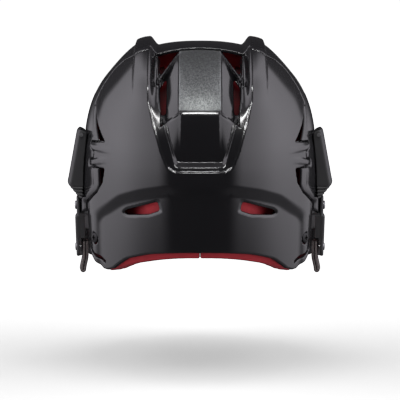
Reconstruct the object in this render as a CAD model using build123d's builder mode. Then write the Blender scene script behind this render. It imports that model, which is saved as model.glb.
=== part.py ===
"""Ice hockey helmet: two shells that slide for size, foam liners, latches, ear guards and chin strap.

Millimetres. +Z is up, the face opening looks along -Y, and the wearer's left is +X.
The origin is under the middle of the helmet, at the level of its lowest point.
"""

import os
from math import atan2, cos, radians, sin, sqrt

from build123d import *

# Head form that both shells follow
half_width = 97.5
half_length = 125.0
crown_height = 195.0
equator_height = 95.0
dome_fullness = 2.5
side_taper_share = 0.03
nape_taper_share = 0.12
nape_taper_power = 1.6
overrun = 60.0

# Walls and the gaps between layers
shell_wall = 3.0
layer_clearance = 0.3
running_clearance = 0.4
adjustment_travel = 15.0

# Ridges, sunken centre panel, channel and skirt
ridge_height = 6.0
ridge_lean = 4.5
ridge_inner_edge = 40.5
ridge_outer_edge = 52.0
panel_depth = 5.5
tongue_depth = 2.5
facet_depth = 4.0
tongue_half_width = 17.0
facet_half_width = 25.0
channel_depth = 2.8
skirt_depth = 3.4
corner_slot_width = 2.2

# Cheeks of the front shell, and the ear guards outside them
cheek_bulge = 4.2
cheek_drop = 22.0
guard_wall = 2.3
guard_step = 1.4
guard_slot_width = 4.0
guard_slot_height = 20.0
guard_slot_pitch = 9.0
guard_slot_y = -8.0
guard_slot_z = 32.0
guard_screw_radius = 1.8
guard_screw_head_radius = 3.4
guard_screw_head_height = 1.6
guard_screw_ys = (-36.0, 11.0)
guard_screw_z = 56.0
guard_screw_length = 8.5

# Side latches
latch_flare = 15.0
latch_cover = 2.5
latch_wall = 2.4
latch_front = -14.0
latch_rear = 34.0
latch_foot = 64.8
latch_ramp_height = 12.0
latch_ramp_run = 11.0
latch_run = 13.0
hinge_height = 116.5
barrel_radius = 3.0
pin_radius = 1.5
lug_width = 3.0
lug_reach = 9.0
grip_radius = 0.9
grip_count = 4
pad_thickness = 2.5
pad_half_length = 15.0
pad_low = 70.0
pad_high = 84.0

# Liners
liner_side = 19.0
liner_ends = 25.0
liner_joint_y = 23.0
liner_gap = 1.6

# Fasteners
bore_clearance = 0.1
screw_head_radius = 4.3
screw_head_height = 2.4
screw_radius = 2.0
boss_radius = 7.5
nut_radius = 5.5
nut_height = 2.6
corner_screw_y = 46.0
corner_screw_z = 32.0
corner_screw_turn = 20.0
brow_hole_spacing = 56.0
brow_hole_z = 113.0
side_hole_spacing = 22.0
side_hole_y = -43.0
side_hole_z = 90.0
boss_depth = 7.0
fitting_hole_radius = 2.0

# Webbing, chin strap and its fittings
webbing_thickness = 1.6
loop_width = 14.0
loop_span = 6.0
loop_height = 26.0
loop_y = 13.0
loop_fold_radius = 2.4
rivet_z = 21.0
rivet_radius = 1.5
rivet_head_radius = 3.0
rivet_head_height = 1.0
strap_width = 15.0
strap_thickness = 1.8
strap_half_width = 97.0
strap_reach = 92.0
strap_centre_y = -20.0
snap_y = -30.0
snap_z = 22.0
snap_radius = 6.5
snap_wall = 2.4
stud_radius = 2.2
stud_head_radius = 4.2
stud_head_height = 1.8
cup_wall = 3.5
cup_half_width = 27.0
cup_height = 21.0
cup_hole_radius = 1.8
cup_hole_spacing = 9.0
slide_length = 13.0
slide_rim = 2.5
slide_turn = 38.0

# Outlines seen from the side, as shares of half_length and crown_height
rear_edge_shares = (
    (0.424, 1.2), (0.424, 0.93), (0.39, 0.92), (0.32, 0.905), (0.264, 0.872), (0.272, 0.82),
    (0.288, 0.77), (0.288, 0.733), (0.33, 0.724), (0.608, 0.579), (0.40, 0.573), (0.376, 0.558),
    (0.40, 0.543), (0.545, 0.536), (0.515, 0.503), (0.376, 0.495), (0.376, 0.475), (0.608, 0.469),
    (0.576, 0.41), (0.49, 0.365), (0.352, 0.328), (0.24, 0.305), (0.224, 0.115), (0.272, 0.088),
    (0.41, 0.0385), (0.452, 0.0385), (0.93, 0.1436), (1.3, 0.225), (1.3, 1.2),
)
front_edge_shares = (
    (0.60, 1.2), (0.60, 0.80), (0.36, 0.752), (0.30, 0.738), (0.565, 0.584), (0.545, 0.47),
    (0.545, 0.39), (0.46, 0.335), (0.32, 0.30), (0.16, 0.255), (-0.16, 0.23), (-0.40, 0.21),
    (-0.52, 0.24), (-0.60, 0.32), (-0.66, 0.42), (-0.76, 0.475), (-0.90, 0.50), (-1.3, 0.53),
    (-1.3, 1.2),
)
strip_shares = (
    (0.36, 1.2), (0.36, 0.93), (0.225, 0.89), (0.225, 0.74), (0.33, 0.62), (0.33, 0.37),
    (0.19, 0.31), (0.18, 0.1), (1.3, 0.1), (1.3, 1.2),
)
cheek_shares = ((0.205, 0.57), (0.205, 0.1), (-0.60, 0.1), (-0.60, 0.36), (-0.40, 0.57))
guard_upper_shares = ((0.15, 0.325), (0.15, 0.235), (-0.36, 0.235), (-0.36, 0.325))
guard_lower_shares = (
    (0.16, 0.255), (0.16, 0.085), (0.10, 0.066), (-0.22, 0.045), (-0.34, 0.05), (-0.40, 0.10),
    (-0.42, 0.20), (-0.40, 0.255),
)
corner_slot_shares = ((0.28, 0.110), (0.45, 0.069))
rear_liner_shares = (
    (0.1, 1.2), (0.1, 0.36), (0.30, 0.34), (0.36, 0.20), (0.47, 0.025), (0.53, 0.028), (0.94, 0.121),
    (1.3, 0.205), (1.3, 1.2),
)
temple_liner_shares = (
    (0.3, 0.64), (0.3, 0.30), (-0.16, 0.26), (-0.40, 0.245), (-0.50, 0.30), (-0.57, 0.40),
    (-0.57, 0.505), (-0.36, 0.505), (-0.36, 0.64),
)
forehead_shares = ((-0.36, 1.2), (-0.36, 0.61), (-1.3, 0.61), (-1.3, 1.2))
crown_liner_shares = ((-0.347, 1.2), (-0.347, 0.65), (0.3, 0.65), (0.3, 1.2))
brow_pad_shares = ((-0.375, 0.602), (-0.375, 0.515), (-1.3, 0.515), (-1.3, 0.602))
strap_side_shares = (
    (-0.14, 0.16), (-0.14, 0.066), (-0.50, 0.0135), (-1.2, 0.0135), (-1.2, 0.0905),
    (-0.56, 0.0905), (-0.34, 0.16),
)

# Outlines seen from behind, as shares of half_width and crown_height
panel_shares = (
    (0.415, 1.2), (0.418, 0.83), (0.418, 0.755), (0.38, 0.668), (0.315, 0.556), (0.26, 0.49),
    (0.205, 0.472),
)
inner_panel_shares = (
    (0.345, 1.2), (0.345, 0.89), (0.328, 0.755), (0.287, 0.668), (0.222, 0.55), (0.187, 0.503),
)
belt_shares = ((0.28, 0.394), (0.48, 0.376), (0.65, 0.348), (0.86, 0.265), (0.86, -0.1))
upper_vent_shares = ((0.335, 0.958), (0.205, 0.966), (0.175, 0.935), (0.325, 0.838))
lower_vent_shares = (
    (0.323, 0.80), (0.297, 0.672), (0.268, 0.672), (0.228, 0.702), (0.262, 0.71), (0.262, 0.845),
)
skirt_vent_shares = ((0.585, 0.301), (0.58, 0.314), (0.36, 0.352), (0.318, 0.324))
crease_share = 0.71

centre_end_share = 0.3
belt_start_share = 0.3

reach_x = half_width + overrun
reach_y = half_length + overrun
top_z = crown_height + overrun
overlap_inner = 2 * shell_wall + running_clearance
forms = {}


def section_shares(height, top=crown_height):
    """Half-width, front reach and rear reach of the head form at a height, as shares of the full ones."""
    if height > equator_height:
        rise = min((height - equator_height) / (top - equator_height), 1)
        dome = (1 - rise**dome_fullness) ** (1 / dome_fullness)
        return dome, dome, dome
    drop = (equator_height - height) / equator_height
    side = 1 - side_taper_share * drop**2
    return side, side, 1 - nape_taper_share * drop**nape_taper_power


def lofted_form(side_grow, length_grow, top_grow):
    """The head form grown by three amounts, as one closed solid."""
    top = crown_height + top_grow
    heights = [equator_height * share for share in (-0.16, 0.2, 0.6)]
    for angle in (0, 18, 36, 53, 68, 80, 87):
        rise = sin(radians(angle)) ** (2 / dome_fullness)
        heights.append(equator_height + (top - equator_height) * rise)
    sections = []
    for height in heights:
        side, front, rear = section_shares(height, top)
        front_reach = (half_length + length_grow) * front
        rear_reach = (half_length + length_grow) * rear
        with BuildSketch(Plane.XY.offset(height)) as outline:
            with Locations((0, (rear_reach - front_reach) / 2)):
                Ellipse((half_width + side_grow) * side, (front_reach + rear_reach) / 2)
        sections.append(outline.sketch)
    with BuildPart() as body:
        loft(sections=[*sections, Vertex(0, 0, top)])
    return body.part


def form(grow):
    """The head form grown evenly by one amount."""
    key = round(grow, 6)
    if key not in forms:
        forms[key] = lofted_form(grow, grow, grow)
    return forms[key]


def shifted(solid, x=0.0, y=0.0, z=0.0):
    return solid.moved(Location((x, y, z)))


def layer(out):
    """The head form moved out to the wearer's left and down, whose side lies outside the cheek."""
    return shifted(form(0), out, 0, -cheek_drop)


def side_points(shares):
    return [(y * half_length, z * crown_height) for y, z in shares]


def rear_points(shares):
    return [(x * half_width, z * crown_height) for x, z in shares]


def both_halves(points):
    """An outline and its mirror image as one closed row of points."""
    return points + [(-x, z) for x, z in reversed(points)]


def side_prism(points, near=-reach_x, far=reach_x, grow=0.0):
    """A side view outline, grown by an amount, carried across the helmet."""
    with BuildPart() as prism:
        with BuildSketch(Plane.YZ.offset(near)):
            Polygon(*points, align=None)
            if grow:
                offset(amount=grow, kind=Kind.INTERSECTION)
        extrude(amount=far - near)
    return prism.part


def rear_prism(points, near=0.0, far=reach_y, grow=0.0):
    """A rear view outline, grown by an amount, carried from one depth to another."""
    with BuildPart() as prism:
        with BuildSketch(Plane.XZ.offset(-far)):
            Polygon(*points, align=None)
            if grow:
                offset(amount=grow, kind=Kind.INTERSECTION)
        extrude(amount=far - near)
    return prism.part


def slab(low, high):
    """A block between two corners."""
    with BuildPart() as block:
        with Locations(tuple((a + b) / 2 for a, b in zip(low, high))):
            Box(*[b - a for a, b in zip(low, high)])
    return block.part


def rod(plane, radius, start, end):
    """A cylinder along a plane's normal, between two distances from it."""
    with BuildPart(plane.offset(start)) as cylinder:
        Cylinder(radius, end - start, align=(Align.CENTER, Align.CENTER, Align.MIN))
    return cylinder.part


def cut(solid, *tools):
    """The solid less each tool in turn, where a tool is a solid or a list of solids that lie apart."""
    with BuildPart() as rest:
        add(solid)
        for tool in tools:
            add(tool, mode=Mode.SUBTRACT)
    return rest.part


def joined(*solids):
    """Solids added one after another."""
    with BuildPart() as sum_of_all:
        for solid in solids:
            add(solid)
    return sum_of_all.part


def common(solid, tool):
    """What the solid and the tool share."""
    with BuildPart() as rest:
        add(solid)
        add(tool, mode=Mode.INTERSECT)
    return rest.part


def mirrored(solid):
    return mirror(solid, about=Plane.YZ)


def pair(solid):
    return [solid, mirrored(solid)]


def side_plane(y, z, out=0.0, drop=0.0, turn=0.0):
    """A plane on the left of the head form: normal outward and turned rearward, x rearward, y up."""
    side, front, rear = section_shares(z + drop)
    width = half_width * side
    length = half_length * (front + rear) / 2
    from_middle = y - half_length * (rear - front) / 2
    x = width * sqrt(1 - (from_middle / length) ** 2)
    angle = atan2(from_middle / length**2, x / width**2) + radians(turn)
    rearward = (-sin(angle), cos(angle), 0)
    outward = (cos(angle), sin(angle), 0)
    return Plane(origin=(x + out, y, z), x_dir=rearward, z_dir=outward)


def corner_plane():
    """Where the corner screw's head seats, level with the shell's outer face on its forward side."""
    return side_plane(corner_screw_y, corner_screw_z, turn=corner_screw_turn).offset(-screw_head_height)


def side_fitting_plane(y):
    """A plane across the helmet at the inner end of a side fitting boss."""
    low = side_plane(side_hole_y - side_hole_spacing / 2 - boss_radius, side_hole_z)
    return Plane(origin=(low.origin.X - shell_wall - layer_clearance, y, side_hole_z), z_dir=(1, 0, 0))


def brow_fitting_plane():
    """A plane across the brow at the inner end of the left brow fitting boss."""
    dome = section_shares(brow_hole_z)[0]
    edge = (brow_hole_spacing / 2 + boss_radius) / (half_width * dome)
    depth = half_length * dome * sqrt(1 - edge**2) - shell_wall - layer_clearance
    return Plane(origin=(brow_hole_spacing / 2, -depth, brow_hole_z), z_dir=(0, -1, 0))


def hinge_plane():
    """The latch hinge on the wearer's left: normal forward along the pin, x outward, y up."""
    middle = (latch_front + latch_rear) / 2
    face = side_plane(middle, hinge_height, running_clearance + barrel_radius)
    return Plane(origin=face.origin, x_dir=face.z_dir, z_dir=-face.x_dir)


def ridge():
    """The left ridge over the crown: a band of the head form stretched up and lengthways."""
    block = slab((ridge_inner_edge, -reach_y, equator_height), (ridge_outer_edge, reach_y, top_z))
    return common(lofted_form(0, ridge_lean, ridge_height), block)


def left_block(points):
    """The left half of the head form inside a side view outline."""
    return common(form(0), side_prism(points, 0))


def whole(left):
    """A left half joined to its mirror image."""
    return joined(left, mirrored(left))


def skirt_space(grow, depth):
    """The space below the belt line and outside a depth in the head form."""
    outline = both_halves(rear_points(belt_shares))
    return cut(rear_prism(outline, half_length * belt_start_share, grow=grow), form(-depth))


def panel_space():
    """The space over the sunken panel, with the tongue and its flanks left standing."""
    crease = crease_share * crown_height
    inner = rear_prism(both_halves(rear_points(inner_panel_shares)))
    tongue = slab((-tongue_half_width, 0, crease), (tongue_half_width, reach_y, top_z))
    flanks = slab((-facet_half_width, 0, crease), (facet_half_width, reach_y, top_z))
    return cut(inner, form(-panel_depth), tongue, common(flanks, form(-facet_depth)))


def rear_hollow():
    """The hollow of the rear shell, shallower behind the sunken panel and the skirt."""
    backing = rear_prism(both_halves(rear_points(inner_panel_shares)), grow=shell_wall)
    backing = cut(backing, form(-panel_depth - shell_wall))
    return cut(form(-shell_wall), backing, skirt_space(shell_wall, skirt_depth + shell_wall))


def corner_slot():
    """The webbing slot along the lower corner of the rear shell."""
    start, end = side_points(corner_slot_shares)
    with BuildPart() as slot:
        with BuildSketch(Plane.YZ):
            with BuildLine():
                Line(start, end)
            trace(line_width=corner_slot_width)
        extrude(amount=reach_x, both=True)
    return slot.part


def rear_shell_solid():
    edge = side_points(rear_edge_shares)
    outline = both_halves(rear_points(panel_shares))
    seat = corner_plane()
    boss = common(rod(seat, boss_radius, -boss_depth, screw_head_height), form(-layer_clearance))
    vent_tables = (upper_vent_shares, lower_vent_shares, skirt_vent_shares)
    vents = [rear_prism(rear_points(shares)) for shares in vent_tables]
    pocket = rod(seat, screw_head_radius + running_clearance, 0, overrun / 2)
    bore = rod(seat, screw_radius + bore_clearance, -overrun / 2, 0)
    left = joined(left_block(edge), common(ridge(), side_prism(edge)))
    sunk = cut(rear_prism(outline), form(-tongue_depth))
    left = cut(left, sunk, panel_space(), skirt_space(0, skirt_depth))
    left = joined(cut(left, rear_hollow()), boss)
    return whole(cut(left, *vents, pocket, bore, corner_slot()))


def latch_lugs():
    """Two lugs on the wearer's left that carry the latch pin."""
    plane = hinge_plane()
    length = latch_rear - latch_front
    lugs = []
    for start in (-length / 2 - running_clearance - lug_width, length / 2 + running_clearance):
        with BuildPart() as lug:
            with BuildSketch(plane.offset(start)):
                Circle(barrel_radius)
                with Locations((-lug_reach / 2, 0)):
                    Rectangle(lug_reach, 2 * barrel_radius)
            extrude(amount=lug_width)
            add(form(-shell_wall / 2), mode=Mode.SUBTRACT)
        lugs.append(cut(lug.part, rod(plane, pin_radius + bore_clearance, -length, length)))
    return lugs


def front_fittings(radius, start, end):
    """A rod for each brow and side fitting on the left, between two distances from where its nut seats."""
    planes = [brow_fitting_plane()]
    for y in (side_hole_y - side_hole_spacing / 2, side_hole_y + side_hole_spacing / 2):
        planes.append(side_fitting_plane(y))
    return [rod(plane, radius, start, end) for plane in planes]


def front_bosses():
    """Blocks inside the front shell that seat the brow and side fittings."""
    return [common(block, form(-shell_wall / 2)) for block in front_fittings(boss_radius, 0, overrun / 2)]


def guard_screw_planes():
    """Where the ear guard screws' heads seat, on the guard's outer face on the wearer's left."""
    return [side_plane(y, guard_screw_z, cheek_bulge + layer_clearance + guard_wall, cheek_drop)
            for y in guard_screw_ys]


def front_shell_solid():
    rear_outline = side_points(rear_edge_shares)
    behind = side_prism(rear_outline, grow=running_clearance)
    strip = side_prism(side_points(strip_shares))
    centre = slab((0, half_length * centre_end_share, equator_height), (ridge_inner_edge, reach_y, top_z))
    channel = slab((0, -reach_y, equator_height), (ridge_inner_edge, reach_y, top_z))
    edge = side_points(front_edge_shares)
    cheek = common(layer(cheek_bulge), side_prism(side_points(cheek_shares), 0))
    bores = [rod(plane, guard_screw_radius + bore_clearance, -overrun / 2, overrun / 2)
             for plane in guard_screw_planes()]
    left = joined(form(0), ridge(), cheek)
    left = common(left, side_prism(edge, 0))
    left = cut(left, cut(channel, shifted(form(0), z=-channel_depth)), form(-overlap_inner))
    left = cut(left, cut(form(-shell_wall), strip), cut(behind, form(-shell_wall - running_clearance)))
    left = joined(cut(left, common(centre, behind)), *front_bosses())
    left = cut(left, front_fittings(fitting_hole_radius, -overrun / 2, overrun), *bores)
    return whole(joined(left, *latch_lugs()))


def guard_solid():
    """The ear guard on the wearer's left: an upper leaf on the cheek, a lower leaf a step further out."""
    inner = cheek_bulge + layer_clearance
    upper = common(layer(inner + guard_wall), side_prism(side_points(guard_upper_shares), 0))
    lower = common(layer(inner + guard_step + guard_wall), side_prism(side_points(guard_lower_shares), 0))
    slots = []
    for index in (-1, 0, 1):
        y = guard_slot_y + index * guard_slot_pitch
        with BuildPart() as slot:
            with BuildSketch(Plane.YZ):
                with Locations((y, guard_slot_z)):
                    SlotOverall(guard_slot_height, guard_slot_width, rotation=90)
            extrude(amount=reach_x)
        slots.append(slot.part)
    bores = [rod(plane, guard_screw_radius + bore_clearance, -overrun / 2, overrun / 2)
             for plane in guard_screw_planes()]
    bores.append(rod(rivet_plane(), rivet_radius + bore_clearance, -overrun / 2, overrun / 2))
    spots = [rod(plane, guard_screw_head_radius + bore_clearance, 0, overrun / 2)
             for plane in guard_screw_planes()]
    spots.append(rod(rivet_plane(), rivet_head_radius + bore_clearance, 0, overrun / 2))
    stud = stud_plane()
    stud_bore = rod(stud, stud_radius + bore_clearance, -overrun, overrun)
    stud_spot = rod(stud, stud_head_radius + bore_clearance, 0, overrun)
    return cut(joined(cut(upper, layer(inner)), cut(lower, layer(inner + guard_step))),
               slots, bores, spots, stud_bore, stud_spot)


def stud_plane():
    """The chin strap's pivot on the wearer's left: normal to the left, where the stud's head seats."""
    face = side_plane(snap_y, snap_z, cheek_bulge + layer_clearance + guard_step + guard_wall, cheek_drop)
    return Plane(origin=(face.origin.X - stud_head_radius * sin(radians(latch_flare)), snap_y, snap_z),
                 x_dir=(0, 1, 0), z_dir=(1, 0, 0))


def screw(plane, head_radius, head_height, radius, length):
    """A screw whose head stands on the plane and whose shank runs below it."""
    return joined(rod(plane, head_radius, 0, head_height), rod(plane, radius, -length, 0))


def hinge_prism(points, start, end):
    """An outline in the latch hinge plane, carried along the pin."""
    with BuildPart() as prism:
        with BuildSketch(hinge_plane().offset(start)):
            Polygon(*points, align=None)
        extrude(amount=end - start)
    return prism.part


def flared(grow):
    """The head form turned outward about the latch hinge, as the latch's skin stands off the shell."""
    plane = hinge_plane()
    return form(grow).rotate(Axis(plane.origin, plane.z_dir), latch_flare)


def latch_outline(inset):
    """The latch across its hinge: level top, slanted finger ramp below, open towards the shell."""
    foot = latch_foot - hinge_height + inset
    return [(-lug_reach, -inset), (latch_run, -inset), (latch_run, foot + latch_ramp_height),
            (latch_run - latch_ramp_run, foot), (-lug_reach, foot)]


def latch_grips():
    """Grooves across the finger ramp."""
    foot = latch_foot - hinge_height
    plane = hinge_plane()
    grooves = []
    for index in range(grip_count):
        share = (index + 0.5) / grip_count
        out = latch_run - latch_ramp_run * share
        up = foot + latch_ramp_height * (1 - share)
        groove = plane.shift_origin(plane.from_local_coords((out, up, 0)))
        grooves.append(rod(groove, grip_radius, -reach_y, reach_y))
    return grooves


def latch_solid():
    """The latch on the wearer's left: a hollow flared cover on a hinge barrel, with a post for its pad."""
    length = latch_rear - latch_front
    plane = hinge_plane()
    shell_side = [form(running_clearance), layer(cheek_bulge + running_clearance)]
    cover = common(hinge_prism(latch_outline(0), -length / 2, length / 2), flared(latch_cover))
    hollow = hinge_prism(latch_outline(latch_wall), latch_wall - length / 2, length / 2 - latch_wall)
    hollow = common(hollow, flared(latch_cover - latch_wall))
    pad_outer = layer(cheek_bulge + layer_clearance + pad_thickness)
    middle = (latch_front + latch_rear) / 2
    post = slab((0, middle - pad_half_length / 2, pad_low + latch_wall),
                (reach_x, middle + pad_half_length / 2, pad_high - latch_wall))
    post = cut(common(post, flared(latch_cover - latch_wall)), pad_outer)
    barrel = rod(plane, barrel_radius, -length / 2, length / 2)
    cover = cut(cover, hollow, *shell_side, latch_grips())
    return cut(joined(cover, post, barrel), rod(plane, pin_radius + bore_clearance, -length, length))


def latch_pad_solid():
    middle = (latch_front + latch_rear) / 2
    block = slab((0, middle - pad_half_length, pad_low), (reach_x, middle + pad_half_length, pad_high))
    inner = cheek_bulge + layer_clearance
    return cut(common(block, layer(inner + pad_thickness)), layer(inner))


def latch_pin_solid():
    half = (latch_rear - latch_front) / 2 + running_clearance + lug_width
    return rod(hinge_plane(), pin_radius, -half, half)


def loop_plane():
    """Across the ear loop on the wearer's left: x outward from its outer face, y up from its fold."""
    face = side_plane(loop_y, loop_height / 2, cheek_bulge + guard_step, cheek_drop)
    origin = Vector(face.origin.X, face.origin.Y, 0)
    return Plane(origin=origin, x_dir=face.z_dir, z_dir=-face.x_dir)


def rivet_plane():
    """Where the loop rivet's head seats on the ear guard on the wearer's left."""
    return side_plane(loop_y, rivet_z, cheek_bulge + layer_clearance + guard_step + guard_wall, cheek_drop)


def loop_solid():
    """A folded length of webbing, hanging below the ear guard."""
    with BuildPart() as loop:
        with BuildSketch(loop_plane().offset(-loop_width / 2)):
            for inset, mode in ((0, Mode.ADD), (webbing_thickness, Mode.SUBTRACT)):
                with BuildSketch(mode=Mode.PRIVATE) as bend:
                    with Locations((-loop_span / 2, inset)):
                        Rectangle(loop_span - 2 * inset, loop_height, align=(Align.CENTER, Align.MIN))
                    fillet(bend.vertices().group_by(Axis.Y)[0], loop_fold_radius - inset)
                add(bend.sketch, mode=mode)
        extrude(amount=loop_width)
    return cut(loop.part, rod(rivet_plane(), rivet_radius + bore_clearance, -overrun / 2, overrun / 2))


def strap_ring(inset, thickness):
    """An upright band along the strap's oval, drawn in by an inset."""
    outer = strap_half_width + strap_thickness / 2 - inset
    reach = strap_reach + strap_thickness / 2 - inset
    with BuildPart() as ring:
        with BuildSketch() as plan:
            with Locations((0, strap_centre_y)):
                Ellipse(outer, reach)
                Ellipse(outer - thickness, reach - thickness, mode=Mode.SUBTRACT)
        extrude(amount=equator_height)
    return ring.part


def strap_solid():
    band = common(strap_ring(0, strap_thickness), side_prism(side_points(strap_side_shares)))
    return cut(band, *pair(rod(stud_plane(), stud_radius + 2 * bore_clearance, -overrun / 2, overrun / 2)))


def strap_slides_solid():
    """A frame round the strap on each side of the chin cup."""
    low, high = (crown_height * z for z in (strap_side_shares[2][1], strap_side_shares[4][1]))
    angle = radians(slide_turn)
    centre = (strap_half_width * cos(angle), strap_centre_y - strap_reach * sin(angle), (low + high) / 2)
    along = Vector(-strap_half_width * sin(angle), -strap_reach * cos(angle), 0).normalized()
    plane = Plane(origin=centre, x_dir=(0, 0, 1), z_dir=along)
    slack = layer_clearance + bore_clearance
    with BuildPart(plane.offset(-slide_length / 2)) as slide:
        with BuildSketch(plane.offset(-slide_length / 2)):
            RectangleRounded(high - low + 2 * slide_rim, strap_thickness + 2 * slide_rim, slide_rim / 2)
            Rectangle(high - low + 2 * slack, strap_thickness + 2 * slack, mode=Mode.SUBTRACT)
        extrude(amount=slide_length)
    return slide.part


def cup_solid():
    """The chin cup inside the strap, with breathing holes."""
    with BuildPart() as outline:
        with BuildSketch(Plane.XZ):
            with Locations((0, cup_height / 2)):
                RectangleRounded(2 * cup_half_width, cup_height, cup_height / 3)
        extrude(amount=reach_y)
    cup = common(strap_ring(strap_thickness, cup_wall), outline.part)
    holes = []
    for index in range(-2, 3):
        plane = Plane(origin=(index * cup_hole_spacing, 0, cup_height / 2), z_dir=(0, -1, 0))
        holes.append(rod(plane, cup_hole_radius, 0, reach_y))
    return cut(cup, *holes)


def snap_solid():
    """The snap cap inside the strap on the wearer's left, with a blind socket for the stud."""
    plane = stud_plane()
    with BuildPart() as inside:
        with BuildSketch():
            with Locations((0, strap_centre_y)):
                Ellipse(strap_half_width - strap_thickness / 2, strap_reach - strap_thickness / 2)
        extrude(amount=equator_height)
    depth = plane.origin.X - strap_half_width + strap_thickness / 2
    cap = common(rod(plane, snap_radius, -depth - 2 * snap_wall, 0), inside.part)
    return cut(cap, rod(plane, stud_radius + bore_clearance, -depth - snap_wall, 0))


def stud_solid():
    plane = stud_plane()
    depth = plane.origin.X - strap_half_width + strap_thickness / 2
    length = depth + snap_wall - layer_clearance
    return screw(plane, stud_head_radius, stud_head_height, stud_radius, length)


def head_space():
    """The room left for the head inside the liners."""
    skin = shell_wall + layer_clearance
    return lofted_form(-skin - liner_side, -skin - liner_ends, -skin - liner_side)


def front_liner(shares):
    """The left half of the foam under the front shell within a side view outline."""
    block = common(form(-shell_wall - layer_clearance), side_prism(side_points(shares), 0))
    behind_joint = slab((-reach_x, liner_joint_y - liner_gap / 2, -overrun), (reach_x, reach_y, top_z))
    return cut(block, head_space(), behind_joint)


def fitting_room():
    """The room left in the foam round the front fittings on the left."""
    return front_fittings(boss_radius + running_clearance, -nut_height - running_clearance, overrun / 2)


def rear_liner():
    """Foam under the left half of the rear shell, hollowed where the front shell slides under it."""
    skin = overlap_inner + layer_clearance
    ahead = slab((-reach_x, -reach_y, -overrun), (reach_x, liner_joint_y + liner_gap / 2, top_z))
    backing = rear_prism(both_halves(rear_points(inner_panel_shares)), grow=shell_wall + layer_clearance)
    backing = cut(backing, form(-panel_depth - shell_wall - layer_clearance))
    sliding = side_prism(side_points(front_edge_shares), grow=running_clearance)
    sliding = cut(sliding, shifted(form(-skin), y=-adjustment_travel))
    seat_depth = boss_depth + nut_height + running_clearance
    seat = rod(corner_plane(), boss_radius + running_clearance, -seat_depth, overrun)
    block = common(form(-skin), side_prism(side_points(rear_liner_shares), layer_clearance))
    return cut(block, head_space(), ahead, backing, sliding, seat)


def fitting_nuts():
    nuts = front_fittings(nut_radius, -nut_height, 0)
    bores = front_fittings(fitting_hole_radius, -overrun / 2, overrun / 2)
    return [side for nut, bore in zip(nuts, bores) for side in pair(cut(nut, bore))]


def group(*solids):
    with BuildPart() as pieces:
        add(solids)
    return pieces.part


def build_parts():
    """Every node's name and solid."""
    corner = corner_plane()
    shank = boss_depth + nut_height
    corner_screw = screw(corner, screw_head_radius, screw_head_height, screw_radius, shank)
    corner_bore = rod(corner, screw_radius + bore_clearance, -shank, 0)
    corner_nut = cut(rod(corner, nut_radius, -shank, -boss_depth), corner_bore)
    guard_sizes = (guard_screw_head_radius, guard_screw_head_height, guard_screw_radius, guard_screw_length)
    guard_screws = [screw(plane, *guard_sizes) for plane in guard_screw_planes()]
    rivet_length = webbing_thickness + guard_wall
    rivet = screw(rivet_plane(), rivet_head_radius, rivet_head_height, rivet_radius, rivet_length)
    parts = {
        "rear_shell": rear_shell_solid(),
        "front_shell": front_shell_solid(),
        "front_liner": whole(cut(front_liner(forehead_shares), fitting_room())),
        "crown_liner": whole(front_liner(crown_liner_shares)),
        "brow_pad": whole(cut(front_liner(brow_pad_shares), fitting_room())),
        "chin_strap": strap_solid(),
        "chin_cup": cup_solid(),
        "corner_screws": group(*pair(corner_screw)),
        "corner_nuts": group(*pair(corner_nut)),
        "guard_screws": group(*[side for one in guard_screws for side in pair(one)]),
        "fitting_nuts": group(*fitting_nuts()),
        "latch_pins": group(*pair(latch_pin_solid())),
        "loop_rivets": group(*pair(rivet)),
        "snap_studs": group(*pair(stud_solid())),
        "strap_snaps": group(*pair(snap_solid())),
        "strap_slides": group(*pair(strap_slides_solid())),
    }
    temple = cut(front_liner(temple_liner_shares), fitting_room())
    handed = {
        "rear_liner": rear_liner(),
        "temple_liner": temple,
        "ear_guard": guard_solid(),
        "side_latch": latch_solid(),
        "latch_pad": latch_pad_solid(),
        "ear_loop": loop_solid(),
    }
    for name, solid in handed.items():
        parts[name + "_left"] = solid
        parts[name + "_right"] = mirrored(solid)
    return parts


os.makedirs("parts", exist_ok=True)
for name, solid in build_parts().items():
    solid.label = name
    export_step(solid, f"parts/{name}.step")
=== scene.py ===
"""Ice hockey helmet: glossy shells, latches, ear guards, foam, webbing and hardware.

Fields give near distances in millimetres, negative inside. Each moulding is the surface where its field
is zero.
"""

import bmesh
import bpy
import numpy as np
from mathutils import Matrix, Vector


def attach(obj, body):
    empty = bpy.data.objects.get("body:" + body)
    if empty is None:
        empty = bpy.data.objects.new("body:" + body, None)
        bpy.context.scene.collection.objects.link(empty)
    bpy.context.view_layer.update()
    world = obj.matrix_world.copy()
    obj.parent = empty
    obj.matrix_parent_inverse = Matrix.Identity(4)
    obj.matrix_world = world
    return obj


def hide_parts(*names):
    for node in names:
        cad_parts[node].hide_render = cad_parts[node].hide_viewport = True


bl_info = {
    "name": "Ice Hockey Helmet",
    "version": (1, 0, 0),
    "blender": (4, 5, 0),
    "location": "View3D > Sidebar > Helmet",
    "description": "Builds the finished look of an ice hockey helmet around its packed frame",
    "category": "Object",
}

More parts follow.
